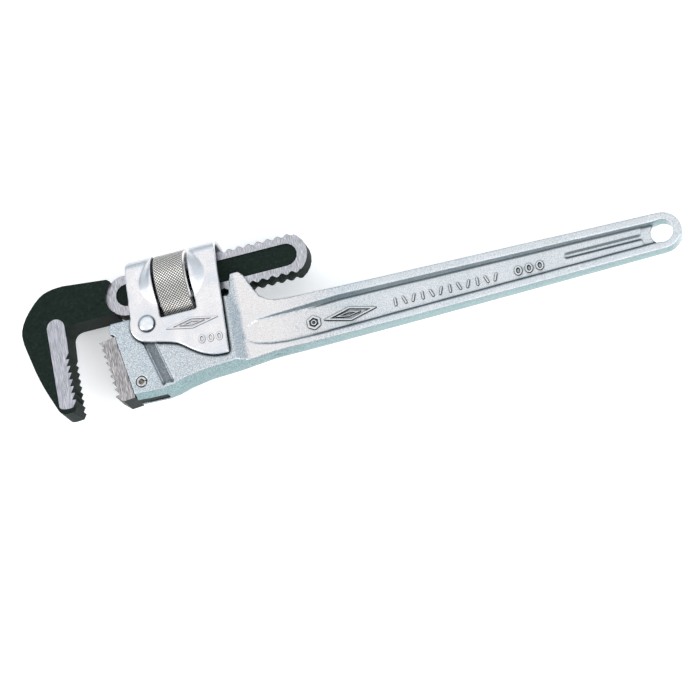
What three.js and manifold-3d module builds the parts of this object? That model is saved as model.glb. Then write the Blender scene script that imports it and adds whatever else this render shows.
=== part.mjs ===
// Adjustable pipe wrench of the hook-and-nut kind, lying on its side, in millimetres.
// Jaws toward -X, handle toward +X, the threaded shank on the +Y side, +Z out of the upper side.
// Every piece is drawn round the frame pin, whose axis is X = 0, Y = 0, and is symmetric about
// Z = 0. The last lines move the whole wrench so that its origin is under its middle.
import * as THREE from 'three';
import { mergeVertices } from 'three/addons/utils/BufferGeometryUtils.js';
import Module from 'manifold-3d';

const wasm = await Module();
wasm.setup();

// --- Driving dimensions -----------------------------------------------------------------------
const gap = 0.3;                 // between pieces that rest on each other
const jawHalf = 8;               // half the thickness of the hook and of the lower jaw
const bodyHalf = jawHalf + 1.6;  // half the thickness of the body's head

// Jaw thread, right-handed about +X, shared by the hook's shank and the nut.
const threadPitch = 5;
const threadCrestR = 11.6;
const threadDepth = 1.3;
const threadClear = 0.3;

// Nut
const nutWall = 4.9;
const nutR = threadCrestR + nutWall;
const nutLength = 16.8;
const nutX = 7.6;                // its left face
const nutChamfer = 0.9;

// Heights over the frame pin
const shankY = nutR + 3.5;       // thread axis
const springRoom = 2.7;          // under the shank's crests, over the body's shoulders
const shoulderY = shankY - threadCrestR - springRoom;
const saddleY = shankY - nutR - 1.7;

// Hook: arm and shank
const shankHalf = 5;
const shankEndX = 84.3;
const shankRecess = 0.8;
const recessHalf = 5.8;
const headX = -9.6;              // centre of the round where the shank leaves the head
const neckR = 10.5;
const jawX = -42.9;              // tip line of the hook's teeth
const hookBottomY = -33.9;
const toothPitch = 3.55;
const toothDepth = 2;

// Frame: a pressed saddle over the shank, with a window for the nut
const sheet = 2.6;
const cheekGap = 0.4;
const cheekIn = bodyHalf + cheekGap;
const cheekOut = cheekIn + sheet;
const archR = nutR + 0.5;        // outside of the bulge round the nut
const archCorner = 9;
const windowGap = 0.6;           // to the nut's left face
const windowPlay = 1.5;          // to its right face
const windowX0 = nutX - windowGap;
const windowX1 = nutX + nutLength + windowPlay;
const bulgeRun = 7.2;            // length over which the bulge fades into the cheek
const frameX0 = -8.4;
const frameX1 = windowX1 + 13.4;
const lobeR = 9;

// Frame pin
const pinR = 3;
const pinHeadR = 4.2;
const pinHeadH = 1.9;

// Body: head, horn and handle
const hornX = frameX1 + 2.2;     // left foot of the horn
const forkHalf = shankHalf + 0.7;
const noseX = -20.4;
const seatTopX = -18;            // face that backs the lower jaw, from top to foot
const seatTopY = -0.6;
const seatFootX = -12.9;
const seatFootY = -35;
const stepRun = 5.4;             // slope from the head's side face to the handle's
const hornHalf = 9;              // half the thickness at the horn's tip
const hornFootY = -3.5;
const handleHalfRoot = 6;
const handleHalfEnd = 4;
const webHalf = 2;
const handleEndX = 265.6;
const endR = 9.8;
const eyeX = handleEndX - endR;
const eyeY = -15;
const eyeR = 5.7;
const eyeWebHalf = 1.2;
const flange = 4.1;
const pocketDraft = 0.45;        // run of a pocket's wall for each mm of depth
const pocketRiseX0 = hornX + 1;  // the pocket's floor rises to the side face toward the head
const pocketRiseX1 = hornX + 46;

// Lower jaw and its spring pin
const tongueHalf = 3.1;
const tongueTopY = -17;
const tongueEndX = 1.9;
const insertToothDepth = 1.8;
const jawPinX = -8.4;
const jawPinY = -27.3;
const jawPinR = 2.5;
const jawPinBore = 1.3;
const jawPinSlit = 0.7;

// Springs
const coilX = frameX1 - 2.9;
const coilR = 3.5;
const coilWire = 1.4;
const coilFloorY = shoulderY - 20;
const coilTurns = 7;
const leafThick = 0.8;
const leafHalf = 4;
const leafRivetR = 1.1;
const leafRivetX = -6.4;
const leafRivetLength = 3.6;

// --- Modelling helpers ------------------------------------------------------------------------
const solid = (geometry) => {
  geometry.deleteAttribute('normal');
  geometry.deleteAttribute('uv');
  const merged = mergeVertices(geometry, 1e-4);
  return new wasm.Manifold(new wasm.Mesh({
    numProp: 3,
    vertProperties: new Float32Array(merged.attributes.position.array),
    triVerts: new Uint32Array(merged.index.array),
  }));
};

const piece = (name, body, color, roughness, metalness) => {
  const mesh = body.getMesh();
  const geometry = new THREE.BufferGeometry();
  geometry.setAttribute('position', new THREE.BufferAttribute(mesh.vertProperties, 3));
  geometry.setIndex(new THREE.BufferAttribute(mesh.triVerts, 1));
  geometry.computeVertexNormals();
  const material = new THREE.MeshStandardMaterial({ color, roughness, metalness });
  const node = new THREE.Mesh(geometry, material);
  node.name = name;
  return node;
};

const at = (x, y) => new THREE.Vector2(x, y);

// A plate between two heights, cut to an outline drawn in X and Y.
const plate = (outline, z0, z1, steps = 1) => {
  const shape = new THREE.Shape(outline);
  const geometry = new THREE.ExtrudeGeometry(shape, { depth: z1 - z0, bevelEnabled: false, steps });
  return geometry.translate(0, 0, z0);
};

const slab = (outline, half) => solid(plate(outline, -half, half));

// A bar along X between two stations, cut to an outline drawn in Z (first) and Y.
const barX = (section, x0, x1) => {
  const geometry = plate(section, 0, x1 - x0);
  return solid(geometry.rotateY(Math.PI / 2).translate(x0, 0, 0));
};

const box = (x0, x1, y0, y1, z0, z1) => {
  const geometry = new THREE.BoxGeometry(x1 - x0, y1 - y0, z1 - z0);
  return solid(geometry.translate((x0 + x1) / 2, (y0 + y1) / 2, (z0 + z1) / 2));
};

const rodZ = (x, y, r, half, sides = 24) => {
  const geometry = new THREE.CylinderGeometry(r, r, 2 * half, sides);
  return solid(geometry.rotateX(Math.PI / 2).translate(x, y, 0));
};

// A solid of revolution about the thread's axis: points are (radius, x).
const turnedX = (profile, sides) => {
  const geometry = new THREE.LatheGeometry(profile, sides);
  return solid(geometry.rotateZ(-Math.PI / 2).translate(0, shankY, 0));
};

const smooth = (points, count) => new THREE.SplineCurve(points).getPoints(count);

const arc = (x, y, r, from, to, count) => {
  const curve = new THREE.EllipseCurve(x, y, r, r, from, to, to < from);
  return curve.getPoints(count);
};

// Both copies of a cut, on the upper side and mirrored on the lower one.
const bothSides = (cut) => cut.add(cut.mirror([0, 0, 1]));

const moveVertices = (geometry, move) => {
  const p = geometry.attributes.position;
  const v = new THREE.Vector3();
  for (let i = 0; i < p.count; i += 1) {
    v.fromBufferAttribute(p, i);
    move(v);
    p.setXYZ(i, v.x, v.y, v.z);
  }
  return geometry;
};

// A rod along X whose surface is one continuous right-handed wave thread.
const threadedRod = (x0, turns, crestR, sides, perTurn) => {
  const length = turns * threadPitch;
  const geometry = new THREE.CylinderGeometry(1, 1, length, sides, turns * perTurn);
  geometry.rotateZ(Math.PI / 2).translate(x0 + length / 2, 0, 0);
  moveVertices(geometry, (v) => {
    const angle = Math.atan2(v.z, v.y);
    const wave = Math.cos(2 * Math.PI * v.x / threadPitch - angle);
    const r = crestR - threadDepth * (1 - wave) / 2;
    const radius = Math.hypot(v.y, v.z);
    v.y *= radius > 0.5 ? r : 0;
    v.z *= radius > 0.5 ? r : 0;
  });
  return solid(geometry.translate(0, shankY, 0));
};

// --- Hook jaw ---------------------------------------------------------------------------------
const hookTeeth = () => {
  const points = [];
  const count = 8;
  const foot = hookBottomY + 2.6;
  for (let i = 0; i < count; i += 1) {
    points.push(at(jawX, foot + i * toothPitch));
    points.push(at(jawX - toothDepth, foot + i * toothPitch + 0.25));
  }
  return points;
};

const hookHead = () => {
  const top = shankY + 11.9;
  const armY = shankY - 9;
  const back = smooth([
    at(jawX + 2.6, top), at(jawX - 4.2, top - 0.5), at(jawX - 10.4, top - 3),
    at(jawX - 17.7, top - 10.4), at(jawX - 21.6, top - 17.8), at(jawX - 21.8, shankY - 12),
    at(jawX - 20.5, 1.75), at(jawX - 17.7, -9.8), at(jawX - 14.6, -19.3), at(jawX - 10.9, -28.2),
    at(jawX - 9.2, -32), at(jawX - 6.8, hookBottomY), at(jawX - 1.6, hookBottomY + 0.2),
  ], 30);
  const throat = arc(jawX + 5.4, armY - 5, 5, Math.PI, Math.PI / 2, 6);
  const outline = [
    at(headX - 5, shankY + 7), at(headX - 8, shankY + 9.5), ...back,
    ...hookTeeth(), at(jawX, -3.2), ...throat, at(headX - 7, armY), at(headX - 5, armY + 2),
  ];
  const round = rodZ(headX, shankY, neckR + 0.2, jawHalf + 1, 32);
  const web = box(headX - 20, headX + 20, 0, 2 * shankY, -shankHalf, shankHalf);
  return slab(outline, jawHalf).subtract(round.subtract(web));
};

const shankOutline = () => {
  const r = threadCrestR;
  const round = arc(shankEndX - r, shankY, r, -Math.PI / 2, Math.PI / 2, 12);
  return [at(headX, shankY - r), ...round, at(headX, shankY + r)];
};

const stadium = (x0, x1, y, r, count) => [
  ...arc(x1 - r, y, r, -Math.PI / 2, Math.PI / 2, count),
  ...arc(x0 + r, y, r, Math.PI / 2, 1.5 * Math.PI, count),
];

const hookJaw = () => {
  const start = Math.floor(headX / threadPitch) * threadPitch;
  const turns = Math.ceil((shankEndX - start) / threadPitch) + 1;
  const rod = threadedRod(start, turns, threadCrestR, 24, 8);
  const shank = rod.intersect(slab(shankOutline(), shankHalf))
    .add(slab(arc(headX, shankY, neckR, Math.PI / 2, 1.5 * Math.PI, 16), shankHalf));
  const root = headX - neckR + 5.2;
  const recess = plate(
    stadium(root, shankEndX - 5.2, shankY, recessHalf, 8),
    shankHalf - shankRecess,
    shankHalf + 1,
  );
  return hookHead().add(shank).subtract(bothSides(solid(recess)));
};

// --- Adjusting nut ----------------------------------------------------------------------------
const nut = () => {
  const x1 = nutX + nutLength;
  const profile = [
    at(0, nutX), at(nutR - nutChamfer, nutX), at(nutR, nutX + nutChamfer),
    at(nutR, x1 - nutChamfer), at(nutR - nutChamfer, x1), at(0, x1),
  ];
  const start = Math.floor(nutX / threadPitch) * threadPitch - threadPitch;
  const turns = Math.ceil((x1 - start) / threadPitch) + 1;
  const bore = threadedRod(start, turns, threadCrestR + threadClear, 24, 8);
  return turnedX(profile, 48).subtract(bore);
};

// --- Frame ------------------------------------------------------------------------------------
const saddle = (half, top, corner) => [
  at(-half, -60), at(half, -60),
  ...arc(half - corner, top - corner, corner, 0, Math.PI / 2, 6),
  ...arc(corner - half, top - corner, corner, Math.PI / 2, Math.PI, 6),
];

const bulge = (half, r) => {
  const x0 = windowX0 - 0.6;
  const x1 = windowX1 + 0.6;
  return turnedX([
    at(0, x0 - bulgeRun), at(half, x0 - bulgeRun), at(r - 0.7, x0 - 1.6), at(r, x0),
    at(r, x1), at(r - 0.7, x1 + 1.6), at(half, x1 + bulgeRun), at(0, x1 + bulgeRun),
  ], 40);
};

const frameOutline = () => {
  const top = shankY + archR + 1;
  const lobe = arc(0, 0, lobeR, Math.PI * 0.93, Math.PI * 1.35, 6);
  const sweep = smooth([
    at(0.8, -9.5), at(6.7, -10.8), at(13.4, -13), at(18.4, -16.8), at(23.2, -20.3),
    at(28, -22.6), at(frameX1 - 7, -23.7), at(frameX1 - 1.3, -24),
  ], 14);
  return [at(frameX0 + 2, top), at(frameX0 + 0.3, lobeR / 2), ...lobe, ...sweep, at(frameX1 + 1, top)];
};

const frame = () => {
  const top = shankY + archR;
  const outer = barX(saddle(cheekOut, top, archCorner), frameX0 - 5, frameX1 + 5)
    .add(bulge(cheekOut, archR));
  const inner = barX(saddle(cheekIn, top - sheet, archCorner - sheet), frameX0 - 6, frameX1 + 6)
    .add(bulge(cheekIn, archR - sheet));
  const window = box(windowX0, windowX1, saddleY, top + 5, -archR - 5, archR + 5);
  return outer.subtract(inner)
    .intersect(slab(frameOutline(), archR + 1))
    .subtract(window)
    .subtract(rodZ(0, 0, pinR + gap, cheekOut + 1));
};

const framePin = () => {
  const seat = cheekOut + gap;
  const dome = arc(0, 0, 1, 0, Math.PI / 2, 5)
    .map((p) => at(p.x * pinHeadR, seat + 0.5 + p.y * (pinHeadH - 0.5)));
  const upper = [at(pinR, 0), at(pinR, seat), at(pinHeadR, seat), ...dome];
  upper[upper.length - 1].x = 0;
  const lower = upper.slice(1).reverse().map((p) => at(p.x, -p.y));
  const geometry = new THREE.LatheGeometry([...lower, ...upper.slice(1)], 24);
  return solid(geometry.rotateX(Math.PI / 2));
};

// --- Body: head, horn and handle in one forging -----------------------------------------------
const headOutline = () => [
  at(noseX, seatTopY + 0.9), at(noseX, shoulderY - 2.3), at(noseX + 1.4, shoulderY),
  at(windowX0 - 3, shoulderY),
  at(windowX0 - 1, saddleY), at(windowX1 + 1, saddleY), at(windowX1 + 3, shoulderY),
  at(hornX + 0.4, shoulderY),
  at(hornX + 2.2, shankY - 5.6), at(hornX + 3.2, shankY - 3.6), at(hornX + 7.4, shankY - 3.6),
  at(hornX + 9.4, shankY - 5.6), at(hornX + 12.4, shankY - 12.4), at(hornX + 15.2, shankY - 17.6),
  at(hornX + 19.4, shankY - 20.6), at(hornX + 25, -2.2), at(hornX + 25, -27.6),
  at(hornX - 3, -30.2), at(23.7, -30.9), at(12.7, -32.7), at(6.3, -34.6), at(0.8, -35.4),
  at(seatFootX, seatFootY), at(seatTopX, seatTopY),
];

// The lower edge falls away from the middle ridge toward each side face.
const head = () => {
  const geometry = plate(headOutline(), -bodyHalf, bodyHalf, 6);
  const ridge = bodyHalf / 3;
  moveVertices(geometry, (v) => {
    const run = Math.max(0, Math.abs(v.z) - ridge) / (bodyHalf - ridge);
    v.y += v.y < -26 ? 2 * run : 0;
  });
  return solid(geometry);
};

const handleOutline = () => [
  at(hornX + 3, -3.4), at(hornX + 19, -0.8), at(hornX + 29, -1.6), at(handleEndX - 136, -3),
  ...arc(eyeX, eyeY, endR, Math.PI / 2, -Math.PI / 2, 14),
  at(handleEndX - 68, eyeY - 11.1), at(handleEndX - 146, eyeY - 12.8),
  at(hornX + 37, -28.4), at(hornX + 23, -28.8), at(hornX + 10, -29.4), at(hornX + 3, -30),
];

// The beam thins toward its end, and its flanges are rounded between the two faces.
const handleRun = (x) => (x - hornX) / (handleEndX - hornX);
const handleHalfAt = (x) => handleHalfRoot + (handleHalfEnd - handleHalfRoot) * handleRun(x);

const handleBeam = () => {
  const geometry = plate(handleOutline(), -1, 1, 6);
  moveVertices(geometry, (v) => {
    const run = handleRun(v.x);
    const half = handleHalfAt(v.x);
    const sweep = Math.max(0, 1 - (v.x - hornX) / 26);
    const fall = (0.9 + 5.6 * sweep) * Math.abs(v.z) ** 2;
    v.y += v.y < -20 ? fall : -0.5 * Math.abs(v.z) ** 3 * Math.min(1, run * 8);
    v.z *= half;
  });
  return solid(geometry);
};

const drafted = (outline, floor) => {
  const depth = handleHalfRoot - floor;
  const geometry = new THREE.ExtrudeGeometry(new THREE.Shape(outline), {
    depth: 5, bevelEnabled: true, bevelSegments: 1, bevelThickness: depth,
    bevelSize: depth * pocketDraft, bevelOffset: -depth * pocketDraft * 0.6,
  });
  return solid(geometry.translate(0, 0, floor + depth));
};

const handlePocket = () => {
  const upper = [at(eyeX, eyeY + endR - flange), at(160, -8.4), at(95, -7.4)];
  const lower = [
    at(hornX + 17, -22.8), at(hornX + 26, -23.8), at(hornX + 42, -24.1),
    at(160, eyeY - 7.6), at(eyeX, eyeY - endR + flange),
  ];
  const nose = smooth([
    at(hornX + 12, -9.8), at(hornX + 4.6, -13.4), at(hornX + 5.4, -18.2), at(hornX + 10, -21),
  ], 8);
  const round = arc(eyeX, eyeY, endR - flange, -Math.PI / 2, Math.PI / 2, 10).slice(1, -1);
  const rise = plate([
    at(pocketRiseX0 - 10, -1), at(pocketRiseX1, -1), at(pocketRiseX1, webHalf),
    at(pocketRiseX0, handleHalfRoot), at(pocketRiseX0 - 10, handleHalfRoot + 1),
  ], -20, 50).rotateX(Math.PI / 2);
  return drafted([...upper, ...nose, ...lower, ...round], webHalf).subtract(solid(rise));
};

const eyePocket = () => {
  const r = endR - flange - 0.9;
  const round = arc(eyeX, eyeY, r, -Math.PI / 2, Math.PI / 2, 10);
  const x0 = eyeX - 10.4;
  const slot = arc(x0 - 37, eyeY, 1.3, Math.PI / 2, 1.5 * Math.PI, 6);
  return solid(plate([
    at(x0 + 1, eyeY + r), at(x0, eyeY + 1.3), ...slot, at(x0, eyeY - 1.3), at(x0 + 1, eyeY - r),
    ...round,
  ], eyeWebHalf, webHalf + 1));
};

// Right of the frame the side faces step down to the handle, and the horn's lean in to meet it.
const shoulderSlope = () => {
  const deep = bodyHalf + 6;
  const stepX = hornX - 1.3;
  const footX = stepX + stepRun;
  const step = [
    at(stepX, bodyHalf + 0.2), at(footX, handleHalfAt(footX)), at(stepX + 90, handleHalfAt(stepX + 90)),
    at(stepX + 90, deep), at(stepX, deep),
  ];
  const lean = [
    at(-40, handleHalfEnd), at(hornFootY, handleHalfEnd), at(hornFootY, handleHalfAt(footX + 15)),
    at(shankY, hornHalf), at(shankY, deep), at(-40, deep),
  ];
  const stepCut = plate(step, -shankY, 50).rotateX(Math.PI / 2);
  const leanCut = plate(lean.map((p) => at(-p.y, p.x)), stepX - 1, stepX + 80).rotateY(Math.PI / 2);
  return solid(stepCut).intersect(solid(leanCut));
};

const sideGroove = () => solid(plate([
  at(-4.7, -7), at(1.4, -7), at(8.2, -32.4), at(6.6, -31), at(3.4, -31), at(2.2, -32.4),
], bodyHalf - 1.5, bodyHalf + 1));

const tongueSlot = () => [
  at(seatTopX - 7, tongueTopY + 2.6), at(seatTopX, tongueTopY + 2.4),
  at(tongueEndX - 3.6, tongueTopY + 0.4), at(tongueEndX + 0.4, seatFootY + 0.6),
  at(tongueEndX + 0.5, seatFootY - 5), at(seatTopX - 7, seatFootY - 5),
];

const body = () => {
  const slopes = bothSides(shoulderSlope());
  const fork = box(hornX - 6, hornX + 30, shoulderY - 1.5, 60, -forkHalf, forkHalf);
  const coilHole = new THREE.CylinderGeometry(coilR + coilWire + 0.3, coilR + coilWire + 0.3, 40, 24);
  const coilSeat = solid(coilHole.translate(coilX, coilFloorY + 20, 0));
  const leafBore = leafRivetR + gap;
  const leafHole = new THREE.CylinderGeometry(leafBore, leafBore, 2 * leafRivetLength + gap, 12);
  return head().subtract(slopes).add(handleBeam())
    .subtract(fork)
    .subtract(coilSeat)
    .subtract(solid(leafHole.translate(leafRivetX, shoulderY, 0)))
    .subtract(slab(tongueSlot(), tongueHalf + gap))
    .subtract(rodZ(jawPinX, jawPinY, jawPinR + gap, bodyHalf + 1))
    .subtract(rodZ(0, 0, pinR + gap, bodyHalf + 1))
    .subtract(bothSides(sideGroove()))
    .subtract(bothSides(handlePocket()))
    .subtract(bothSides(eyePocket()))
    .subtract(rodZ(eyeX, eyeY, eyeR, 30, 32));
};

// --- Lower jaw and its spring pin -------------------------------------------------------------
const lowerJaw = () => {
  const tip = at(seatTopX - 8.7, seatTopY - 1.6);
  const foot = at(seatFootX - 9.5, seatFootY + 4);
  const count = 8;
  const teeth = [];
  for (let i = 0; i < count; i += 1) {
    const a = tip.clone().lerp(foot, i / count);
    const b = tip.clone().lerp(foot, (i + 0.85) / count);
    teeth.push(a, at(b.x + insertToothDepth, b.y));
  }
  const outline = [
    ...teeth, at(foot.x - 0.5, foot.y - 0.3), at(seatFootX - 6.3, seatFootY + 0.4),
    at(seatFootX - gap, seatFootY + 0.9), at(seatTopX - gap, seatTopY - gap),
  ];
  const tongueShape = [
    at(seatTopX, tongueTopY + 2), at(tongueEndX - 4, tongueTopY), at(tongueEndX, seatFootY + 0.6),
    at(seatFootX - 1, seatFootY + 0.9),
  ];
  return slab(outline, jawHalf)
    .add(slab(tongueShape, tongueHalf))
    .subtract(rodZ(jawPinX, jawPinY, jawPinR + gap, jawHalf));
};

const jawPin = () => {
  const tube = rodZ(jawPinX, jawPinY, jawPinR, bodyHalf - 0.2)
    .subtract(rodZ(jawPinX, jawPinY, jawPinBore, bodyHalf + 1, 16));
  const half = jawPinSlit / 2;
  const slit = box(jawPinX, jawPinX + 5, jawPinY - half, jawPinY + half, -bodyHalf, bodyHalf);
  return tube.subtract(slit);
};

// --- Springs ----------------------------------------------------------------------------------
class Helix extends THREE.Curve {
  getPoint(t) {
    const angle = t * coilTurns * 2 * Math.PI;
    const rise = shankY - threadCrestR - coilFloorY - 2 * coilWire;
    const y = coilFloorY + coilWire + t * rise;
    return new THREE.Vector3(coilX + coilR * Math.cos(angle), y, coilR * Math.sin(angle));
  }
}

const coilSpring = () => {
  const ring = new THREE.Shape(arc(0, 0, coilWire / 2, 0, 2 * Math.PI, 6).slice(0, 6));
  const options = { steps: coilTurns * 12, bevelEnabled: false, extrudePath: new Helix() };
  return solid(new THREE.ExtrudeGeometry(ring, options));
};

const leafSpring = () => {
  const foot = shoulderY + gap;
  const crown = shankY - threadCrestR - gap - leafThick;
  const x = leafRivetX;
  const under = [
    at(x - 2.6, foot), at(x + 2.4, foot), at(x + 4.2, foot + 0.3), at(x + 7.6, crown),
    at(x + 9.4, crown - 0.5),
  ].reverse();
  const over = under.map((p) => at(p.x, p.y + leafThick)).reverse();
  const hole = new THREE.CylinderGeometry(leafRivetR + gap, leafRivetR + gap, 10, 12);
  return slab([...under, ...over], leafHalf)
    .subtract(solid(hole.translate(leafRivetX, foot, 0)));
};

const leafRivet = () => {
  const seat = shoulderY + 2 * gap + leafThick;
  const foot = shoulderY - leafRivetLength + gap;
  const profile = [
    at(0, foot), at(leafRivetR, foot), at(leafRivetR, seat), at(leafRivetR + 0.9, seat),
    at(leafRivetR + 0.5, seat + 0.5), at(0, seat + 0.7),
  ];
  return solid(new THREE.LatheGeometry(profile, 12).translate(leafRivetX, 0, 0));
};

// --- Assembly ---------------------------------------------------------------------------------
const wrench = new THREE.Group();
wrench.add(
  piece('body', body(), 0xb9c3cc, 0.5, 0.9),
  piece('lower_jaw', lowerJaw(), 0x9c9698, 0.45, 0.9),
  piece('jaw_pin', jawPin(), 0x8d8f90, 0.35, 1),
  piece('frame', frame(), 0xd9dadd, 0.25, 1),
  piece('frame_pin', framePin(), 0xdfe3e8, 0.15, 1),
  piece('nut', nut(), 0xcfc8bd, 0.3, 1),
  piece('hook_jaw', hookJaw(), 0x262d2a, 0.5, 0.5),
  piece('coil_spring', coilSpring(), 0xb8b4a8, 0.35, 1),
  piece('leaf_spring', leafSpring(), 0x6f7478, 0.4, 1),
  piece('leaf_rivet', leafRivet(), 0xa7abae, 0.4, 1),
);

// Origin: under the middle of the wrench, on the surface it lies on.
const extent = new THREE.Box3().setFromObject(wrench);
const middle = extent.getCenter(new THREE.Vector3());
for (const node of wrench.children) {
  node.geometry.translate(-middle.x, -middle.y, -extent.min.z);
}

export default wrench;
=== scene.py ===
import math
import bpy
from mathutils import Matrix, Vector


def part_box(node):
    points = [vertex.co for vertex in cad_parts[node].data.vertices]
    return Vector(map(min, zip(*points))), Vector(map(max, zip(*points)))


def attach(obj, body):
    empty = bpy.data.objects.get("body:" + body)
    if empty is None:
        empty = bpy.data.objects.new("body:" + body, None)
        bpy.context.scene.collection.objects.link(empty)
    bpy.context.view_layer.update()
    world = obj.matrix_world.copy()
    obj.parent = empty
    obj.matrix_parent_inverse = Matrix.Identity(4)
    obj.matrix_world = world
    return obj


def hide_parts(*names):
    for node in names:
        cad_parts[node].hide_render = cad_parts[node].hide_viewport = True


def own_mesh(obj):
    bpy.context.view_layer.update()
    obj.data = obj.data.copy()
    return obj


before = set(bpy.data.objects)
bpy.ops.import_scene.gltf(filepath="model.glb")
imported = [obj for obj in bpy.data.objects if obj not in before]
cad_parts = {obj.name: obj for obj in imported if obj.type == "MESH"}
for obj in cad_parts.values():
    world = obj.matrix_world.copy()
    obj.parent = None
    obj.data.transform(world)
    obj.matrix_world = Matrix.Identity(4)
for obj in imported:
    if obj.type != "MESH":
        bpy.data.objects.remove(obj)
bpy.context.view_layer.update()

# --- View ---------------------------------------------------------------------------------------
# A long lens looks down on the wrench from the handle's lower side, turned so that the handle
# rises to the right. It is set first, so that every piece can be looked at as it is made.
camera = bpy.data.cameras.new("camera")
camera.lens = 155.4
camera.sensor_width = 36
camera.clip_end = 20
viewer = bpy.data.objects.new("camera", camera)
bpy.context.scene.collection.objects.link(viewer)
right = Vector((0.95929, -0.18356, -0.21465)).normalized()
ahead = Vector((-0.15171, 0.30616, -0.93981)).normalized()
over = right.cross(ahead)
eye = Vector((0.2186, -0.48721, 1.40432))
viewer.matrix_world = Matrix((
    (right.x, over.x, -ahead.x, eye.x),
    (right.y, over.y, -ahead.y, eye.y),
    (right.z, over.z, -ahead.z, eye.z),
    (0, 0, 0, 1),
))
bpy.context.scene.camera = viewer
bpy.context.scene.view_settings.view_transform = "Standard"

# --- Floor and lights ---------------------------------------------------------------------------
# A white sweep that the wrench lies on, under a bright overcast sky that darkens toward the
# horizon, so that plated and ground steel have something to mirror, and two large soft boxes.
# The sweep glows a little, which keeps the ground nearly free of shadow.
bpy.ops.object.select_all(action="DESELECT")
bpy.ops.mesh.primitive_plane_add(size=12, location=(0, 0, 0))
floor = bpy.context.object
floor.name = "floor"
floor_paint = bpy.data.materials.new("white_sweep")
floor_paint.use_nodes = True
floor_shader = floor_paint.node_tree.nodes["Principled BSDF"]
floor_shader.inputs["Base Color"].default_value = (0.97, 0.97, 0.97, 1)
floor_shader.inputs["Roughness"].default_value = 0.9
floor_shader.inputs["Specular IOR Level"].default_value = 0.1
floor_shader.inputs["Emission Color"].default_value = (1, 1, 1, 1)
floor_shader.inputs["Emission Strength"].default_value = 0.32
floor.data.materials.append(floor_paint)

sky = bpy.data.worlds.new("studio")
bpy.context.scene.world = sky
sky.use_nodes = True
sky_glow = sky.node_tree.nodes["Background"]
sky_glow.inputs["Strength"].default_value = 1.02
sky_way = sky.node_tree.nodes.new("ShaderNodeTexCoord")
sky_axes = sky.node_tree.nodes.new("ShaderNodeSeparateXYZ")
sky_ramp = sky.node_tree.nodes.new("ShaderNodeValToRGB")
sky.node_tree.links.new(sky_way.outputs["Generated"], sky_axes.inputs[0])
sky.node_tree.links.new(sky_axes.outputs["Z"], sky_ramp.inputs[0])
sky.node_tree.links.new(sky_ramp.outputs[0], sky_glow.inputs["Color"])
for stop, colour in (
    (0.14, (0.08, 0.11, 0.13, 1)), (0.26, (0.42, 0.5, 0.55, 1)), (0.45, (0.58, 0.68, 0.76, 1)),
    (0.72, (0.92, 0.95, 0.98, 1)), (0.9, (1, 1, 1, 1)),
):
    sky_ramp.color_ramp.elements.new(stop).color = colour
sky_ramp.color_ramp.elements[0].color = (0.05, 0.07, 0.08, 1)


def soft_box(name, stand, width, height, power):
    """A wide lamp on a stand, aimed at the middle of the wrench."""
    light = bpy.data.lights.new(name, "AREA")
    light.shape = "RECTANGLE"
    light.size = width
    light.size_y = height
    light.energy = power
    lamp = bpy.data.objects.new(name, light)
    bpy.context.scene.collection.objects.link(lamp)
    lamp.location = stand
    aim = -Vector(stand)
    lamp.rotation_euler = aim.to_track_quat("-Z", "Y").to_euler()


soft_box("key_box", (0.9, -1.2, 1.3), 1.2, 0.9, 15)
soft_box("side_box", (-1.5, -0.4, 0.9), 0.9, 0.9, 9)

# --- Body ---------------------------------------------------------------------------------------
# One aluminium forging: the head that holds the lower jaw, the forked horn behind the frame, and
# the I-beam handle. It is shot-blasted all over, with the flats rubbed smoother where the handle
# begins, and the floor of its groove is darker. Painted shade darkens its corners, its drafted
# pocket walls and the feet of those walls, and its faces that look along Y carry a painted teal
# reflection and shade.
def corners_of(box):
    """The low and the high corner of a CAD piece's box, and the middle between them."""
    low, high = [Vector(corner) for corner in box]
    return low, high, (low + high) / 2


pin_low, pin_high, pivot = corners_of(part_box("frame_pin"))


def place(x, y, z=0.0):
    """A point given in millimetres from the middle of the frame pin."""
    return pivot + Vector((x, y, z)) / 1000


def likeness(node, name):
    """A merged copy of a CAD piece, with its flat faces whole, ready for finer work."""
    bpy.ops.object.select_all(action="DESELECT")
    made = bpy.data.objects.new(name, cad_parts[node].data.copy())
    bpy.context.scene.collection.objects.link(made)
    made.select_set(True)
    bpy.context.view_layer.objects.active = made
    made.data.materials.clear()
    bpy.ops.object.mode_set(mode="EDIT")
    bpy.ops.mesh.select_all(action="SELECT")
    bpy.ops.mesh.remove_doubles(threshold=1e-6)
    bpy.ops.mesh.dissolve_limited(angle_limit=math.radians(1))
    bpy.ops.object.mode_set(mode="OBJECT")
    return made


def pick(piece):
    """Makes a piece the one that the next operators work on."""
    bpy.ops.object.select_all(action="DESELECT")
    piece.select_set(True)
    bpy.context.view_layer.objects.active = piece


def choose_faces(piece, wanted):
    """Goes into edit mode on a piece with only the faces that pass a test chosen."""
    pick(piece)
    bpy.ops.object.mode_set(mode="EDIT")
    bpy.ops.mesh.select_mode(type="FACE")
    bpy.ops.mesh.select_all(action="DESELECT")
    bpy.ops.object.mode_set(mode="OBJECT")
    for side in piece.data.polygons:
        side.select = wanted(side)
    bpy.ops.object.mode_set(mode="EDIT")


def break_edges(piece, width, angle=30, steps=2):
    """Rounds the edges sharper than an angle, as a file or a die's radius leaves them."""
    pick(piece)
    bevel = piece.modifiers.new("edges", "BEVEL")
    bevel.width = width / 1000
    bevel.segments = steps
    bevel.limit_method = "ANGLE"
    bevel.angle_limit = math.radians(angle)
    bpy.ops.object.modifier_apply(modifier="edges")
    bpy.ops.object.shade_smooth_by_angle(angle=math.radians(angle))
    level = piece.modifiers.new("level", "WEIGHTED_NORMAL")
    level.keep_sharp = True
    bpy.ops.object.modifier_apply(modifier="level")


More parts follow.
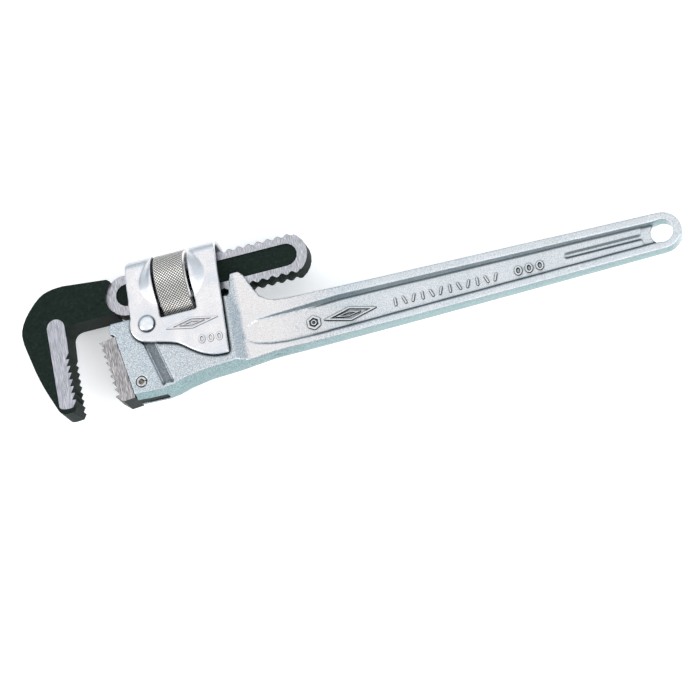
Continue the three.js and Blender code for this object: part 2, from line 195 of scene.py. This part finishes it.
def soften_skin(piece, cell, rounds):
    """Gives a forging or a pressing one even skin with soft edges and hollows."""
    pick(piece)
    skin = piece.modifiers.new("skin", "REMESH")
    skin.mode = "VOXEL"
    skin.voxel_size = cell / 1000
    bpy.ops.object.modifier_apply(modifier="skin")
    ease = piece.modifiers.new("ease", "SMOOTH")
    ease.factor = 0.5
    ease.iterations = rounds
    bpy.ops.object.modifier_apply(modifier="ease")
    bpy.ops.object.shade_smooth()


def finish(name, colour, roughness, metallic):
    """A plain finish, whose colour and gloss patterns can then be fed in."""
    paint = bpy.data.materials.new(name)
    paint.use_nodes = True
    shader = paint.node_tree.nodes["Principled BSDF"]
    shader.inputs["Base Color"].default_value = (*colour, 1)
    shader.inputs["Roughness"].default_value = roughness
    shader.inputs["Metallic"].default_value = metallic
    return paint


def feed(paint, socket, name):
    """Drives a property of a finish from a pattern."""
    paint.node_tree.links.new(socket, paint.node_tree.nodes["Principled BSDF"].inputs[name])


def hold(paint, name, value):
    """Sets a property of a finish to one value all over."""
    paint.node_tree.nodes["Principled BSDF"].inputs[name].default_value = value


def stretch(paint, scales):
    """Object coordinates in millimetres from the frame pin, drawn out along the axes."""
    way = paint.node_tree.nodes.new("ShaderNodeTexCoord")
    turn = paint.node_tree.nodes.new("ShaderNodeMapping")
    turn.inputs["Scale"].default_value = [1000 * s for s in scales]
    turn.inputs["Location"].default_value = [-1000 * p * s for p, s in zip(pivot, scales)]
    paint.node_tree.links.new(way.outputs["Object"], turn.inputs[0])
    return turn.outputs[0]


def grain(paint, scale, detail=3.0, scales=(1, 1, 1)):
    """A cloudy pattern, drawn out where the scales differ."""
    speck = paint.node_tree.nodes.new("ShaderNodeTexNoise")
    speck.inputs["Scale"].default_value = scale
    speck.inputs["Detail"].default_value = detail
    paint.node_tree.links.new(stretch(paint, scales), speck.inputs["Vector"])
    return speck.outputs["Fac"]


def shades(paint, socket, stops):
    """A colour for each level of a pattern: stops are (level, colour)."""
    ramp = paint.node_tree.nodes.new("ShaderNodeValToRGB")
    steps = ramp.color_ramp.elements
    steps[0].position, steps[0].color = stops[0][0], (*stops[0][1], 1)
    steps[1].position, steps[1].color = stops[-1][0], (*stops[-1][1], 1)
    for level, colour in stops[1:-1]:
        steps.new(level).color = (*colour, 1)
    paint.node_tree.links.new(socket, ramp.inputs[0])
    return ramp.outputs[0]


def span(paint, socket, low, high, start=0.0, end=1.0):
    """Start below low, end above high, and evenly between them."""
    slope = paint.node_tree.nodes.new("ShaderNodeMapRange")
    for name, value in (("From Min", low), ("From Max", high), ("To Min", start), ("To Max", end)):
        slope.inputs[name].default_value = value
    paint.node_tree.links.new(socket, slope.inputs["Value"])
    return slope.outputs[0]


def sum_of(paint, kind, first, second=None):
    """A number made of two numbers, such as their product, or of one, such as its size."""
    sums = paint.node_tree.nodes.new("ShaderNodeMath")
    sums.operation = kind
    for slot_number, value in enumerate((first, second)):
        if value is None:
            continue
        if isinstance(value, (int, float)):
            sums.inputs[slot_number].default_value = value
        else:
            paint.node_tree.links.new(value, sums.inputs[slot_number])
    return sums.outputs[0]


def blend_in(paint, share, first, second, kind="MIX"):
    """The first colour where share is 0, and the second where it is 1."""
    mixed = paint.node_tree.nodes.new("ShaderNodeMix")
    mixed.data_type = "RGBA"
    mixed.blend_type = kind
    for slot_name, value in ((0, share), (6, first), (7, second)):
        if isinstance(value, (int, float)):
            mixed.inputs[slot_name].default_value = value
        elif isinstance(value, tuple):
            mixed.inputs[slot_name].default_value = (*value, 1)
        else:
            paint.node_tree.links.new(value, mixed.inputs[slot_name])
    return mixed.outputs[2]


def axes(paint, socket):
    """The three parts of a direction or a place, along X, Y and Z."""
    parts = paint.node_tree.nodes.new("ShaderNodeSeparateXYZ")
    paint.node_tree.links.new(socket, parts.inputs[0])
    return parts.outputs


def facing(paint):
    """How far a surface faces along X, Y and Z."""
    way = paint.node_tree.nodes.new("ShaderNodeTexCoord")
    return axes(paint, way.outputs["Normal"])


def openness(paint, reach):
    """Low in corners and 1 in the open, judged within a reach in millimetres."""
    shade = paint.node_tree.nodes.new("ShaderNodeAmbientOcclusion")
    shade.samples = 16
    shade.inputs["Distance"].default_value = reach / 1000
    return shade.outputs["AO"]


def raise_grain(paint, height, depth, strength=1.0):
    """Makes a pattern stand out of the surface, to a depth in millimetres."""
    relief = paint.node_tree.nodes.new("ShaderNodeBump")
    relief.inputs["Distance"].default_value = depth / 1000
    relief.inputs["Strength"].default_value = strength
    paint.node_tree.links.new(height, relief.inputs["Height"])
    feed(paint, relief.outputs[0], "Normal")


forging = likeness("body", "body_forging")
soften_skin(forging, 0.55, 2)
blasted = finish("blasted_aluminium", (0.62, 0.68, 0.73), 0.42, 0.85)
blast_specks = grain(blasted, 1.9, 4)
blast_tone = shades(blasted, blast_specks, (
    (0.3, (0.3, 0.335, 0.365)), (0.48, (0.56, 0.6, 0.635)), (0.68, (0.86, 0.88, 0.9)),
))
clouds = grain(blasted, 0.05, 2)
cloud_tone = shades(blasted, clouds, ((0.35, (0.9, 0.94, 0.96)), (0.65, (1, 1, 1))))
blast_base = blend_in(blasted, 1.0, blast_tone, cloud_tone, "MULTIPLY")
where = axes(blasted, stretch(blasted, (1, 1, 1)))
paler = span(blasted, where[0], 60, 120, 0, 0.34)
blast_base = blend_in(blasted, paler, blast_base, (0.92, 0.93, 0.94))
face = facing(blasted)
side_facing = sum_of(blasted, "ABSOLUTE", face[2])
edge_facing = sum_of(blasted, "ABSOLUTE", face[1])
upright = span(blasted, side_facing, 0.9, 0.98)
handle_start = sum_of(
    blasted, "MULTIPLY", span(blasted, where[0], 45, 47), span(blasted, where[0], 100, 62),
)
polished = sum_of(blasted, "MULTIPLY", upright, handle_start)
rubbed = shades(blasted, blast_specks, ((0.3, (0.66, 0.64, 0.65)), (0.7, (0.93, 0.91, 0.91))))
flat_tone = blend_in(blasted, polished, blast_base, rubbed)
side_height = sum_of(blasted, "ABSOLUTE", where[2])
let_in = sum_of(
    blasted, "MULTIPLY", span(blasted, side_height, 8.9, 8.5), span(blasted, where[0], 12, 11),
)
groove_floor = sum_of(blasted, "MULTIPLY", upright, let_in)
flat_tone = blend_in(blasted, groove_floor, flat_tone, blend_in(
    blasted, 1.0, flat_tone, (0.36, 0.38, 0.39), "MULTIPLY",
))
edge_on = span(blasted, edge_facing, 0.45, 0.95)
# Painted teal reflection and shade on the faces that look along Y.
painted_teal_reflection = blend_in(blasted, 1.0, flat_tone, (0.47, 0.6, 0.58), "MULTIPLY")
# Painted shade, a neutral grey, on the drafted walls of the pocket.
draft = span(blasted, side_facing, 0.36, 0.41)
painted_pocket_wall_shade = blend_in(blasted, 1.0, flat_tone, (0.5, 0.54, 0.54), "MULTIPLY")
side_tone = blend_in(blasted, edge_on, flat_tone, blend_in(blasted, draft, painted_teal_reflection, painted_pocket_wall_shade))
# Painted shade, darker still, at the feet of the steep walls near the web.
steep = sum_of(
    blasted, "MULTIPLY", span(blasted, edge_facing, 0.12, 0.4), span(blasted, side_facing, 0.3, 0.42),
)
painted_wall_foot_shade = sum_of(blasted, "MULTIPLY", steep, span(blasted, side_height, 2.9, 2.6))
side_tone = blend_in(blasted, painted_wall_foot_shade, side_tone, blend_in(
    blasted, 1.0, flat_tone, (0.2, 0.23, 0.24), "MULTIPLY",
))
# Painted shade in the corners and hollows, darker the more shut in a point is.
painted_crevice_shade = shades(blasted, openness(blasted, 2.2), ((0.66, (0.02, 0.03, 0.03)), (0.93, (1, 1, 1))))
feed(blasted, blend_in(blasted, 1.0, side_tone, painted_crevice_shade, "MULTIPLY"), "Base Color")
feed(blasted, span(blasted, polished, 0, 1, 0.46, 0.3), "Roughness")
raise_grain(blasted, blast_specks, 0.05, 0.6)
forging.data.materials.append(blasted)
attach(forging, "handle")
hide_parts("body")

# --- Handle marks -------------------------------------------------------------------------------
# Plain raised figures on the web of the handle, forged in one with it on both sides: a ring, a
# long lozenge, a row of bars and three small rings, that stand 0.6 mm over the web.
web_half = 2.0
web_rise_x = (42.5, 87.5)
side_half = 6.0


def web_height(x):
    """Half the web's thickness at a station, where its floor runs out toward the head."""
    share = max(0.0, min(1.0, (web_rise_x[1] - x) / (web_rise_x[1] - web_rise_x[0])))
    return web_half + (side_half - web_half) * share


def raised_ring(x, y, long, wide, sides, line, low, high):
    """A raised outline with flat sides, with its middle let down again."""
    bpy.ops.object.select_all(action="DESELECT")
    bpy.ops.mesh.primitive_cylinder_add(vertices=sides, radius=0.5, depth=1)
    made = bpy.context.object
    made.scale = (long / 1000, wide / 1000, (high - low) / 1000)
    made.location = place(x, y, (low + high) / 2)
    bpy.ops.object.transform_apply(location=True, rotation=True, scale=True)
    choose_faces(made, lambda side: side.normal.z > 0.9)
    bpy.ops.mesh.inset(thickness=line / 1000, depth=0)
    let_down = (low - high) * 0.9 / 1000
    bpy.ops.mesh.extrude_region_move(TRANSFORM_OT_translate={"value": (0, 0, let_down)})
    bpy.ops.object.mode_set(mode="OBJECT")
    return made


def raised_bar(x, y, long, wide, low, high, turn):
    """A raised stroke with drawn-in ends and a narrower top, as a die leaves it."""
    bpy.ops.object.select_all(action="DESELECT")
    bpy.ops.mesh.primitive_cube_add(
        size=1, location=place(x, y, (low + high) / 2), rotation=(0, 0, turn),
    )
    made = bpy.context.object
    made.scale = (long / 1000, wide / 1000, (high - low) / 1000)
    bpy.ops.object.transform_apply(location=True, rotation=True, scale=True)
    choose_faces(made, lambda side: side.normal.z > 0.9)
    bpy.ops.transform.resize(value=(0.8, 0.8, 1), center_override=place(x, y, high))
    bpy.ops.object.mode_set(mode="OBJECT")
    return made


def gather(pieces, name):
    """Joins figures into one piece, and adds the same on the lower side."""
    bpy.ops.object.select_all(action="DESELECT")
    for each in pieces:
        each.select_set(True)
    bpy.context.view_layer.objects.active = pieces[0]
    bpy.ops.object.join()
    made = bpy.context.object
    made.name = name
    bpy.ops.object.mode_set(mode="EDIT")
    bpy.ops.mesh.select_all(action="SELECT")
    bpy.ops.mesh.duplicate()
    bpy.ops.transform.resize(value=(1, 1, -1), center_override=pivot)
    bpy.ops.mesh.flip_normals()
    bpy.ops.object.mode_set(mode="OBJECT")
    return made


mark_foot = -1.2
mark_top = 0.6
bar_lean = 0.35
figures = [
    raised_ring(80.5, -17.2, 7.4, 7.4, 6, 1.0, mark_foot, mark_top),
    raised_ring(80.5, -17.2, 2.8, 2.8, 12, 0.5, mark_foot, mark_top),
    raised_ring(99, -17.0, 27, 7, 4, 0.8, mark_foot, mark_top),
    raised_ring(98, -17.0, 13, 2.4, 4, 0.4, mark_foot, mark_top),
]
for number in range(12):
    lean = (0.0, bar_lean, -bar_lean)[number % 3]
    figures.append(raised_bar(122 + 4.6 * number, -16.8, 0.95, 5, mark_foot, mark_top, lean))
for number in range(3):
    figures.append(raised_ring(
        184 + 5.4 * number, -16.5, 3.8, 4.8, 10, 0.8, mark_foot, mark_top,
    ))
for each in figures:
    for corner in each.data.vertices:
        corner.co.z += web_height((corner.co.x - pivot.x) * 1000) / 1000
handle_marks = gather(figures, "handle_marks")
break_edges(handle_marks, 0.1, 40, 2)
handle_marks.data.materials.append(blasted)
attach(handle_marks, "handle")

# --- Lower jaw ----------------------------------------------------------------------------------
# A hardened steel insert in the head's slot, with its teeth toward the pipe. Its two sides are
# ground across, and everything else is left black from the heat treatment.
insert = likeness("lower_jaw", "lower_jaw_insert")
break_edges(insert, 0.18, 25, 2)
ground_black = finish("ground_and_black_steel", (0.5, 0.48, 0.52), 0.35, 1)
streaks = grain(ground_black, 3.2, 4, (1, 0.09, 1))
ground_tone = shades(ground_black, streaks, (
    (0.3, (0.14, 0.135, 0.14)), (0.5, (0.4, 0.385, 0.39)), (0.68, (0.74, 0.72, 0.73)),
))
scale_tone = shades(ground_black, grain(ground_black, 0.9), (
    (0.35, (0.006, 0.01, 0.009)), (0.7, (0.02, 0.028, 0.025)),
))
insert_up = span(ground_black, sum_of(ground_black, "ABSOLUTE", facing(ground_black)[2]), 0.6, 0.8)
feed(ground_black, blend_in(ground_black, insert_up, scale_tone, ground_tone), "Base Color")
feed(ground_black, span(ground_black, streaks, 0.3, 0.7, 0.5, 0.28), "Roughness")
feed(ground_black, insert_up, "Metallic")
hold(ground_black, "Specular IOR Level", 0.05)
raise_grain(ground_black, streaks, 0.03, 0.5)
insert.data.materials.append(ground_black)
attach(insert, "handle")
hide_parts("lower_jaw")

# --- Jaw pin ------------------------------------------------------------------------------------
# A spring pin rolled from strip, open along one side, driven through the head and the insert.
# It keeps the insert from sliding out of its slot.
jaw_pin_low, jaw_pin_high, jaw_pin_middle = corners_of(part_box("jaw_pin"))
roll_radius = 0.0025
roll_strip = 0.0011
slit_half = 0.0003
bpy.ops.object.select_all(action="DESELECT")
bpy.ops.mesh.primitive_cylinder_add(
    vertices=64, radius=roll_radius, depth=jaw_pin_high.z - jaw_pin_low.z,
    end_fill_type="NOTHING", location=jaw_pin_middle,
)
rolled_pin = bpy.context.object
rolled_pin.name = "rolled_pin"
bpy.ops.object.transform_apply(location=True, rotation=True, scale=True)
slit_x = jaw_pin_middle.x + 0.8 * roll_radius
choose_faces(rolled_pin, lambda side: (
    side.center.x > slit_x and abs(side.center.y - jaw_pin_middle.y) < slit_half
))
bpy.ops.mesh.delete(type="FACE")
bpy.ops.object.mode_set(mode="OBJECT")
strip = rolled_pin.modifiers.new("strip", "SOLIDIFY")
strip.thickness = roll_strip
strip.offset = -1
bpy.ops.object.modifier_apply(modifier="strip")
break_edges(rolled_pin, 0.2, 40, 3)
bright = finish("bright_spring_steel", (0.62, 0.6, 0.57), 0.22, 1)
bright_drawn = grain(bright, 2.5, 3, (1, 1, 0.1))
bright_tone = shades(bright, bright_drawn, ((0.3, (0.4, 0.39, 0.38)), (0.7, (0.82, 0.8, 0.77))))
feed(bright, bright_tone, "Base Color")
feed(bright, span(bright, bright_drawn, 0.3, 0.7, 0.34, 0.16), "Roughness")
rolled_pin.data.materials.append(bright)
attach(rolled_pin, "handle")
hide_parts("jaw_pin")

# --- Hook jaw -----------------------------------------------------------------------------------
# A steel forging, black all over from the heat treatment, with its threaded shank ground flat on
# both sides round a forged recess. A raised pad beside the teeth is ground on each side too.
hook = likeness("hook_jaw", "hook_forging")
hook_half = 0.008
hook_corner = 0.0016
head_end = place(-20, 0).x
tooth_line = place(-45.4, 0).x
tooth_top = place(0, -2).y
pick(hook)
bpy.ops.object.mode_set(mode="EDIT")
bpy.ops.mesh.select_mode(type="EDGE")
bpy.ops.mesh.select_all(action="DESELECT")
bpy.ops.object.mode_set(mode="OBJECT")
for edge in hook.data.edges:
    ends = [hook.data.vertices[v].co for v in edge.vertices]
    on_side = all(
        abs(abs(end.z - pivot.z) - hook_half) < 1e-5 and end.x < head_end for end in ends
    )
    in_teeth = any(end.x > tooth_line and end.y < tooth_top for end in ends)
    edge.select = on_side and not in_teeth
bpy.ops.object.mode_set(mode="EDIT")
bpy.ops.mesh.bevel(offset=hook_corner, segments=5, clamp_overlap=True)
bpy.ops.object.mode_set(mode="OBJECT")
break_edges(hook, 0.22, 34, 2)
hook_finish = finish("black_forging_with_ground_flats", (0.008, 0.012, 0.010), 0.45, 0)
hold(hook_finish, "Specular IOR Level", 0.12)
hook_where = axes(hook_finish, stretch(hook_finish, (1, 1, 1)))
hook_up = span(hook_finish, sum_of(hook_finish, "ABSOLUTE", facing(hook_finish)[2]), 0.85, 0.95)
hook_height = sum_of(hook_finish, "ABSOLUTE", hook_where[2])
shank_level = sum_of(
    hook_finish, "MULTIPLY", span(hook_finish, hook_height, 4.6, 4.8),
    span(hook_finish, hook_height, 5.3, 5.1),
)
shank_ground = sum_of(hook_finish, "MULTIPLY", hook_up, shank_level)
hook_streaks = grain(hook_finish, 2.8, 4, (1, 0.12, 1))
hook_ground = shades(hook_finish, hook_streaks, (
    (0.3, (0.28, 0.285, 0.32)), (0.5, (0.5, 0.505, 0.55)), (0.7, (0.78, 0.78, 0.83)),
))
hook_black = shades(hook_finish, grain(hook_finish, 0.7, 5), (
    (0.35, (0.005, 0.011, 0.009)), (0.6, (0.009, 0.018, 0.014)), (0.75, (0.018, 0.031, 0.026)),
))
feed(hook_finish, blend_in(hook_finish, shank_ground, hook_black, hook_ground), "Base Color")
feed(hook_finish, shank_ground, "Metallic")
feed(hook_finish, span(hook_finish, shank_ground, 0, 1, 0.6, 0.33), "Roughness")
raise_grain(hook_finish, grain(hook_finish, 1.2, 5), 0.06, 0.5)
hook.data.materials.append(hook_finish)
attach(hook, "hook")
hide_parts("hook_jaw")

# Each pad is cut out of the hook's own side by a round bar drawn out along the jaw, which gives
# it a round top and a blunter foot, and it then stands 0.35 mm over that side.
pad_x = -47.2
pad_top_y = 11
pad_radius = 0.0046
pad_length = 0.0405
pad_foot_squash = 0.55
pad_depth = 0.0006
pad_level = 7.9
pad_rise = 0.00035
pad_finish = finish("ground_pad", (0.6, 0.58, 0.64), 0.34, 1)
pad_streaks = grain(pad_finish, 2.8, 4, (1, 0.08, 1))
pad_tone = shades(pad_finish, pad_streaks, (
    (0.3, (0.3, 0.305, 0.35)), (0.5, (0.46, 0.465, 0.52)), (0.7, (0.7, 0.7, 0.76)),
))
feed(pad_finish, pad_tone, "Base Color")
feed(pad_finish, span(pad_finish, pad_streaks, 0.3, 0.7, 0.42, 0.27), "Roughness")
for up in (1, -1):
    pad = likeness("hook_jaw", "hook_pad_" + ("upper" if up > 0 else "lower"))
    bpy.ops.mesh.primitive_cylinder_add(
        vertices=64, radius=pad_radius, depth=pad_depth,
        location=place(pad_x, pad_top_y, up * pad_level),
    )
    cutter = bpy.context.object
    bpy.ops.object.transform_apply(location=True, rotation=True, scale=True)
    for corner in cutter.data.vertices:
        below = corner.co.y - place(0, pad_top_y).y
        if below < -1e-5:
            corner.co.y += -pad_length - below * pad_foot_squash
    keep = pad.modifiers.new("keep", "BOOLEAN")
    keep.operation = "INTERSECT"
    keep.solver = "EXACT"
    keep.object = cutter
    pick(pad)
    bpy.ops.object.modifier_apply(modifier="keep")
    bpy.data.objects.remove(cutter)
    for corner in pad.data.vertices:
        if abs(corner.co.z - pivot.z) > pad_level / 1000:
            corner.co.z += up * pad_rise
    break_edges(pad, 0.12, 40, 2)
    pad.data.materials.append(pad_finish)
    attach(pad, "hook")

# --- Adjusting nut ------------------------------------------------------------------------------
# A turned steel nut, threaded inside, with a fine diamond knurl rolled round it between two
# chamfered rims, then plated.
nut_middle = corners_of(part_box("nut"))[2]
knurl_radius = 0.01652
knurl_depth = 0.00042
knurl_round = 66
knurl_rows = 10
knurl_length = 0.0152
rim_low = nut_middle.x - knurl_length / 2
rim_high = nut_middle.x + knurl_length / 2
turned_nut = likeness("nut", "turned_nut")
break_edges(turned_nut, 0.2, 25, 2)
bpy.ops.object.select_all(action="DESELECT")
bpy.ops.mesh.primitive_cylinder_add(
    vertices=knurl_round, radius=knurl_radius, depth=knurl_length, end_fill_type="NOTHING",
    location=nut_middle, rotation=(0, math.pi / 2, 0),
)
knurl = bpy.context.object
knurl.name = "nut_knurl"
bpy.ops.object.transform_apply(location=True, rotation=True, scale=True)
bpy.ops.object.mode_set(mode="EDIT")
for row in range(1, knurl_rows):
    bpy.ops.mesh.select_all(action="SELECT")
    cut_x = rim_low + row * knurl_length / knurl_rows
    bpy.ops.mesh.bisect(plane_co=(cut_x, 0, 0), plane_no=(1, 0, 0))
bpy.ops.object.mode_set(mode="OBJECT")
grid_corners = len(knurl.data.vertices)
bpy.ops.object.mode_set(mode="EDIT")
bpy.ops.mesh.select_all(action="SELECT")
bpy.ops.mesh.poke()
bpy.ops.mesh.select_mode(type="EDGE")
bpy.ops.mesh.select_all(action="DESELECT")
bpy.ops.object.mode_set(mode="OBJECT")
for edge in knurl.data.edges:
    ends = [knurl.data.vertices[v].co for v in edge.vertices]
    on_rim = all(min(abs(end.x - rim_low), abs(end.x - rim_high)) < 2e-5 for end in ends)
    edge.select = max(edge.vertices) < grid_corners and not on_rim
bpy.ops.object.mode_set(mode="EDIT")
bpy.ops.mesh.dissolve_edges(use_verts=False)
bpy.ops.mesh.select_mode(type="FACE")
bpy.ops.mesh.select_all(action="SELECT")
bpy.ops.mesh.poke(offset=knurl_depth)
# A skirt turns in at both ends of the knurl and closes it on the nut.
bpy.ops.mesh.select_mode(type="EDGE")
bpy.ops.mesh.select_all(action="SELECT")
bpy.ops.mesh.region_to_loop()
bpy.ops.mesh.extrude_edges_move()
bpy.ops.transform.resize(value=(1.004, 0.975, 0.975), center_override=nut_middle)
bpy.ops.object.mode_set(mode="OBJECT")
plated_knurl = finish("plated_steel", (0.8, 0.77, 0.72), 0.26, 0.4)
# The distance from the nut's axis tells the knurl's crests from its valleys.
nut_way = plated_knurl.node_tree.nodes.new("ShaderNodeTexCoord")
from_axis = plated_knurl.node_tree.nodes.new("ShaderNodeMapping")
from_axis.inputs["Scale"].default_value = (0, 1000, 1000)
from_axis.inputs["Location"].default_value = (0, -1000 * nut_middle.y, -1000 * nut_middle.z)
radius_of = plated_knurl.node_tree.nodes.new("ShaderNodeVectorMath")
radius_of.operation = "LENGTH"
plated_knurl.node_tree.links.new(nut_way.outputs["Object"], from_axis.inputs[0])
plated_knurl.node_tree.links.new(from_axis.outputs[0], radius_of.inputs[0])
knurl_height = span(plated_knurl, radius_of.outputs["Value"], 16.5, 16.94)
nut_specks = grain(plated_knurl, 0.35, 3)
crest_tone = shades(plated_knurl, nut_specks, ((0.3, (0.9, 0.87, 0.82)), (0.7, (1, 0.98, 0.94))))
# The valleys are dark with dirt and painted shade, and painted light makes them lighter where they face
# +Y.
turned_up = span(plated_knurl, facing(plated_knurl)[1], 0.4, 0.8)
valley_dirt_and_shade = blend_in(plated_knurl, turned_up, (0.045, 0.035, 0.03), (0.2, 0.18, 0.16))
feed(plated_knurl, blend_in(
    plated_knurl, span(plated_knurl, knurl_height, 0.1, 0.62), valley_dirt_and_shade, crest_tone,
), "Base Color")
feed(plated_knurl, span(plated_knurl, knurl_height, 0, 1, 0.45, 0.3), "Roughness")
knurl.data.materials.append(plated_knurl)
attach(knurl, "nut")
plated = finish("plated_turning", (0.84, 0.82, 0.79), 0.24, 1)
turning = grain(plated, 3.0, 2, (1, 0.05, 0.05))
turned_tone = shades(plated, turning, ((0.3, (0.66, 0.64, 0.62)), (0.7, (0.93, 0.91, 0.88))))
feed(plated, turned_tone, "Base Color")
feed(plated, span(plated, turning, 0.3, 0.7, 0.34, 0.18), "Roughness")
turned_nut.data.materials.append(plated)
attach(turned_nut, "nut")
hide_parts("nut")

# --- Frame --------------------------------------------------------------------------------------
# A saddle pressed from 2.6 mm steel sheet, with two cheeks, an arch over the shank that is bulged
# to clear the nut, and a window for the thumb. It is bright plated after pressing.
saddle = likeness("frame", "frame_pressing")
soften_skin(saddle, 0.5, 10)
plating = finish("bright_plating", (0.86, 0.87, 0.89), 0.2, 1)
ripple = grain(plating, 0.12, 3)
haze = grain(plating, 1.6, 4)
plating_tone = shades(plating, ripple, (
    (0.3, (0.76, 0.8, 0.86)), (0.5, (0.87, 0.86, 0.88)), (0.7, (0.95, 0.93, 0.94)),
))
haze_tone = shades(plating, haze, ((0.3, (0.9, 0.91, 0.93)), (0.6, (1, 1, 1))))
# Painted shade where the sheet is shut in: in its folds, round its edges and round the rivet.
painted_fold_shade = shades(plating, openness(plating, 1.6), ((0.5, (0.03, 0.04, 0.05)), (0.9, (1, 1, 1))))
hazed = blend_in(plating, 1.0, plating_tone, haze_tone, "MULTIPLY")
feed(plating, blend_in(plating, 1.0, hazed, painted_fold_shade, "MULTIPLY"), "Base Color")
bent = span(plating, sum_of(plating, "ABSOLUTE", facing(plating)[2]), 0.98, 0.8)
soft_bend = sum_of(plating, "MULTIPLY", bent, 0.24)
feed(plating, sum_of(plating, "ADD", soft_bend, span(plating, haze, 0.3, 0.7, 0.27, 0.16)), "Roughness")
raise_grain(plating, ripple, 0.12, 0.4)
saddle.data.materials.append(plating)
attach(saddle, "frame")
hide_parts("frame")

# A lozenge and three rings stand 0.4 mm over each cheek.
cheek_half = 12.6
press_foot = cheek_half - 0.3
press_top = cheek_half + 0.4
pressed = [
    raised_ring(22.5, -5.2, 27, 5.6, 4, 0.7, press_foot, press_top),
    raised_ring(22.5, -5.2, 13, 2.2, 4, 0.4, press_foot, press_top),
]
for number in range(3):
    pressed.append(raised_ring(
        26 + 4.4 * number, -14.6 - 0.3 * number, 3.2, 4.4, 12, 0.7, press_foot, press_top,
    ))
frame_marks = gather(pressed, "frame_marks")
break_edges(frame_marks, 0.08, 40, 2)
frame_marks.data.materials.append(plating)
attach(frame_marks, "frame")

# --- Frame pin ----------------------------------------------------------------------------------
# The rivet that the frame rocks on: a plain shank through both cheeks and the head, set at each
# end into a low polished dome.
rivet_radius = 0.003
dome_steps = (
    (0, 1.4), (0.35, 1.0), (0.25, 0.985), (0.3, 0.95), (0.3, 0.905), (0.28, 0.84), (0.22, 0.74),
    (0.14, 0.6), (0.06, 0.35),
)
dome_height = sum(rise for rise, shrink in dome_steps) / 1000
shank_end = (pin_high.z - pin_low.z) / 2 - dome_height
bpy.ops.object.select_all(action="DESELECT")
bpy.ops.mesh.primitive_cylinder_add(
    vertices=64, radius=rivet_radius, depth=2 * shank_end, location=pivot,
)
rivet = bpy.context.object
rivet.name = "domed_rivet"
bpy.ops.object.transform_apply(location=True, rotation=True, scale=True)
for up in (1, -1):
    bpy.ops.object.mode_set(mode="OBJECT")
    choose_faces(rivet, lambda side: (side.center.z - pivot.z) * up > shank_end - 1e-5)
    for rise, shrink in dome_steps:
        bpy.ops.mesh.extrude_region_move(TRANSFORM_OT_translate={"value": (0, 0, up * rise / 1000)})
        bpy.ops.transform.resize(value=(shrink, shrink, 1), center_override=pivot)
bpy.ops.object.mode_set(mode="OBJECT")
bpy.ops.object.shade_smooth_by_angle(angle=math.radians(50))
dome = finish("polished_dome", (0.9, 0.92, 0.94), 0.07, 1)
dome_tone = shades(dome, grain(dome, 0.5, 3), ((0.3, (0.8, 0.84, 0.9)), (0.7, (0.96, 0.96, 0.97))))
# A painted dark reflection and shade on the dome's steep rim, where it does not face out along the pin.
dome_up = span(dome, sum_of(dome, "ABSOLUTE", facing(dome)[2]), 0.55, 0.86)
feed(dome, blend_in(dome, dome_up, (0.09, 0.12, 0.16), dome_tone), "Base Color")
feed(dome, span(dome, grain(dome, 3.0, 3), 0.3, 0.7, 0.05, 0.14), "Roughness")
rivet.data.materials.append(dome)
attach(rivet, "handle")
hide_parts("frame_pin")

# --- Springs ------------------------------------------------------------------------------------
# A coil of round wire in the head's bore pushes the shank up, and a leaf riveted to the head
# keeps it from rattling. Both are bright spring steel and mostly out of sight.
coil_low, coil_high, coil_middle = corners_of(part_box("coil_spring"))
wire = 0.0007
coil_turns = 7
coil_radius = (coil_high.x - coil_low.x) / 2 - wire
coil_rise = coil_high.y - coil_low.y - 2 * wire
bpy.ops.object.select_all(action="DESELECT")
bpy.ops.mesh.primitive_circle_add(vertices=12, radius=wire, rotation=(math.pi / 2, 0, 0))
coil = bpy.context.object
coil.name = "coil"
bpy.ops.object.transform_apply(location=True, rotation=True, scale=True)
bpy.ops.object.mode_set(mode="EDIT")
bpy.ops.mesh.select_all(action="SELECT")
bpy.ops.transform.translate(value=(coil_radius, 0, 0))
bpy.ops.object.mode_set(mode="OBJECT")
wind = coil.modifiers.new("wind", "SCREW")
wind.axis = "Z"
wind.screw_offset = coil_rise / coil_turns
wind.iterations = coil_turns
wind.steps = 28
wind.render_steps = 28
bpy.ops.object.modifier_apply(modifier="wind")
coil.rotation_euler = (-math.pi / 2, 0, 0)
coil.location = (coil_middle.x, coil_low.y + wire, coil_middle.z)
bpy.ops.object.transform_apply(location=True, rotation=True, scale=True)
bpy.ops.object.mode_set(mode="EDIT")
bpy.ops.mesh.select_all(action="SELECT")
bpy.ops.mesh.fill_holes(sides=0)
bpy.ops.mesh.normals_make_consistent(inside=False)
bpy.ops.object.mode_set(mode="OBJECT")
bpy.ops.object.shade_smooth()
coil.data.materials.append(bright)
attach(coil, "handle")
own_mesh(coil)
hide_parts("coil_spring")

leaf = likeness("leaf_spring", "leaf")
break_edges(leaf, 0.12, 40, 2)
leaf.data.materials.append(bright)
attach(leaf, "handle")
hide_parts("leaf_spring")
leaf_pin = likeness("leaf_rivet", "leaf_pin")
break_edges(leaf_pin, 0.1, 40, 2)
leaf_pin.data.materials.append(bright)
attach(leaf_pin, "handle")
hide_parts("leaf_rivet")
